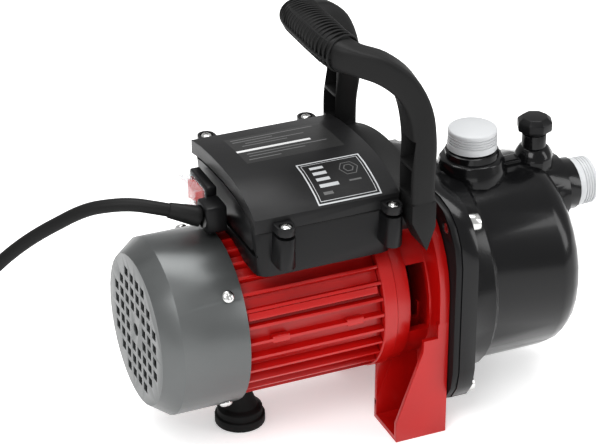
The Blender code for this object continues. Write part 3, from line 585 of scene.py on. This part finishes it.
handle = swept("handle", [i / 4 for i in range(4 * (len(sweep) - 1) + 1)])
arm = {"front": 174.5, "back": 192.4, "middle": 64.6, "half": 12}
tipOutline = (
    (arm["front"], 192), (arm["back"], 192), (arm["back"], 173.7), (186.1, 155.5), (arm["front"], 178.9),
)
for side in (-1, 1):
    middle = side * arm["middle"]
    unite(handle, plate("handleTip", tipOutline, middle - arm["half"], middle + arm["half"], "y"))
under = []
for i in range(15):
    angle = math.radians(28 - 4 * i)
    under.append((-64.5 * math.sin(angle), axisZ + 64.5 * math.cos(angle)))
over = [(y, 204 - 13 * (y / 60) ** 2) for y in range(56, -57, -7)]
saddleOutline = [(-56, 168), (-50, 160), *under, (50, 160), (56, 168), *over]
unite(handle, plate("saddle", saddleOutline, arm["front"], arm["back"], "x"))
for side in (-1, 1):
    for low, high in ((197, 217), (219, 238)):  # channels with a cross rib between them
        carve(handle, block("channel", (150, side * 63.4 - 9.4, low), (186, side * 63.4 + 9.4, high)))
rounded(handle, 0.6, 2, 50)
polish(handle)
piece(handle, "handle_plastic", "body", ("handle",))

# grip ribs of the handle
gripLine = (  # y, z, x
    (-48, 290, 150), (-42, 292.5, 146), (-35.5, 294.5, 140.5), (-23, 296, 137.8), (-11, 296.8, 137.2), (0, 297, 137),
)


def gripAt(y):  # x and z of the grip's middle
    for (ya, za, xa), (yb, zb, xb) in zip(gripLine, gripLine[1:]):
        if ya <= -abs(y) <= yb:
            part = (-abs(y) - ya) / (yb - ya)
            return xa + (xb - xa) * part, za + (zb - za) * part


rings = {"eachSide": 9, "pitch": 3.9, "lean": -2.2, "radius": 13.2, "thick": 0.85}
for index in range(-rings["eachSide"], rings["eachSide"] + 1):
    y = index * rings["pitch"]
    x, z = gripAt(y)
    bpy.ops.mesh.primitive_torus_add(
        major_segments=40, minor_segments=8, major_radius=rings["radius"] * mm, minor_radius=rings["thick"] * mm,
        location=at(x, y, z), rotation=(math.pi / 2, 0, math.radians(index * rings["lean"]))
    )
    rib = bpy.context.object
    rib.name = "gripRib%d" % (index + 10)
    rib.scale = (1.06, 0.93, 1)
    settle(rib)
    bpy.ops.object.shade_smooth_by_angle(angle=math.radians(60))
    piece(rib, "handle_plastic", "body")
for name, dx, dz in (("gripSpine", -9.6, 8.8), ("gripRidge", -14.4, -1.5)):
    bpy.ops.curve.primitive_nurbs_path_add(location=(0, 0, 0))
    spine = bpy.context.object
    spine.name = name
    row = spine.data.splines[0]
    row.points.add(19 - len(row.points))
    for index, point in enumerate(row.points):
        y = (index - 9) * 4.4
        x, z = gripAt(y)
        point.co = (*at(x + dx, y, z + dz), 1)
    row.use_endpoint_u = True
    spine.data.bevel_depth = 1.1 * mm
    spine.data.bevel_resolution = 3
    spine.data.use_fill_caps = True
    piece(spine, "handle_plastic", "body")
print("grip")

# pads and wide fins of the motor's body
def finBlock(name, x0, x1, degrees, half, low, high):  # low and high are radii
    obj = block(name, (x0, -half, low), (x1, half, high))
    rounded(obj, min(half, 1.6) * 0.6, 3, 40)
    obj.rotation_euler = (math.radians(degrees - 90), 0, 0)
    obj.location = (0, 0, axisZ * mm)
    settle(obj)
    polish(obj)
    piece(obj, "red_paint", "body")


for side, (padTurn, finTurn) in enumerate(((174.4, 155.8), (5.6, 24.2))):
    for number, x in enumerate((85, 141)):
        finBlock("finPad%d" % (side * 2 + number + 1), x - 6.5, x + 6.5, padTurn, 2.7, 55, 60.3)
    finBlock("wideFin%d" % (side + 1), 62.5, 160, finTurn, 2.8, 52, 60.2)

# webs of the legs and the raised band of the bracket's ring
webOutline = ((168, 11), (168, 51), (185, 51), (172, 14))
for index, (low, high) in enumerate(((-38.4, -35), (35, 38.4)), 1):
    web = plate("legWeb%d" % index, webOutline, low, high, "y")
    rounded(web, 0.5, 2, 40)
    polish(web)
    piece(web, "red_paint", "body")
bandSpot = at(163.6, 0, axisZ)
ringBand = turned("ringBand", [(60.3, 0), (61.0, 0.7), (61.0, 9.3), (60.3, 10)], bandSpot, "x", 96)
carve(ringBand, turned("bandBore", [(59.2, -2), (59.2, 14)], bandSpot, "x", 96))
polish(ringBand)
piece(ringBand, "red_paint", "body")
print("bracket")

# mouldings of the pump housing
def bore(radius, x):  # a cutter that keeps a port open
    return turned("bore", [(radius, 140), (radius, 200)], at(x, 0, 0))


crest = block("crestRib", (226, -6, 160), (302, 6, 170.6))
rounded(crest, 2.4, 4, 40)
carve(crest, bore(pump["outletBore"], pump["dischargeX"]), bore(pump["fillerBore"], pump["fillerX"]))
polish(crest)
piece(crest, "pump_black", "body")
portSteps = [(26, 150), (26, 170), (24.5, 173), (23.5, 178.5), (19.6, 179.5)]
portBase = turned("portBase", portSteps, at(pump["dischargeX"], 0, 0), "z", 12)
carve(portBase, bore(pump["outletBore"], pump["dischargeX"]))
polish(portBase, 0.8)
piece(portBase, "pump_black", "body")
plugSides = [(5.8, 177.5), (5.8, 188.8), (9.6, 188.9), (12.9, 190), (13.3, 191.5), (13.3, 196.8), (9.4, 200.2)]
fillerPlug = turned("fillerPlug", plugSides, at(pump["fillerX"], 0, 0), "z", 8)
polish(fillerPlug, 0.6, 3, 20)
piece(fillerPlug, "black_plastic", "filler_plug", ("filler_plug",))
neckSteps = [(15, 150), (15, 168), (13.6, 172), (11, 176), (9.4, 177)]
fillerBase = turned("fillerBase", neckSteps, at(pump["fillerX"], 0, 0), "z", 10)
carve(fillerBase, bore(pump["fillerBore"], pump["fillerX"]))
polish(fillerBase, 0.6)
piece(fillerBase, "pump_black", "body")

# surroundings
bpy.ops.mesh.primitive_plane_add(size=8, location=(0, 0, -0.0004))
floor = bpy.context.object
floor.name = "floor"
floorFinish = finish("floor", (0.93, 0.93, 0.93), 0.7, grain=200, bump=0.0, wear=0.02)
floor.data.materials.append(floorFinish)
glow = floorFinish.node_tree.nodes["Principled BSDF"].inputs
glow["Emission Color"].default_value = (1, 1, 1, 1)
glow["Emission Strength"].default_value = 0.32

lampAim = Vector((0, 0, 0.12))


def lamp(name, spot, size, power):
    light = bpy.data.lights.new(name, "AREA")
    light.shape = "RECTANGLE"
    light.size, light.size_y = size
    light.energy = power
    obj = bpy.data.objects.new(name, light)
    obj.location = spot
    obj.rotation_euler = (Vector(spot) - lampAim).to_track_quat("Z", "Y").to_euler()
    bpy.context.scene.collection.objects.link(obj)


lamp("key", (-0.9, -0.9, 1.5), (0.9, 0.9), 15)
lamp("top", (0.2, 0.3, 1.7), (1.4, 0.8), 17)
lamp("side", (1.5, -0.9, 0.9), (0.5, 1.2), 8)
lamp("low", (-0.7, -1.6, 0.25), (1.2, 0.3), 2)
world = bpy.data.worlds.new("world")
bpy.context.scene.world = world
world.use_nodes = True
sky = world.node_tree.nodes["Background"].inputs
sky["Color"].default_value = (1, 1, 1, 1)
sky["Strength"].default_value = 0.55
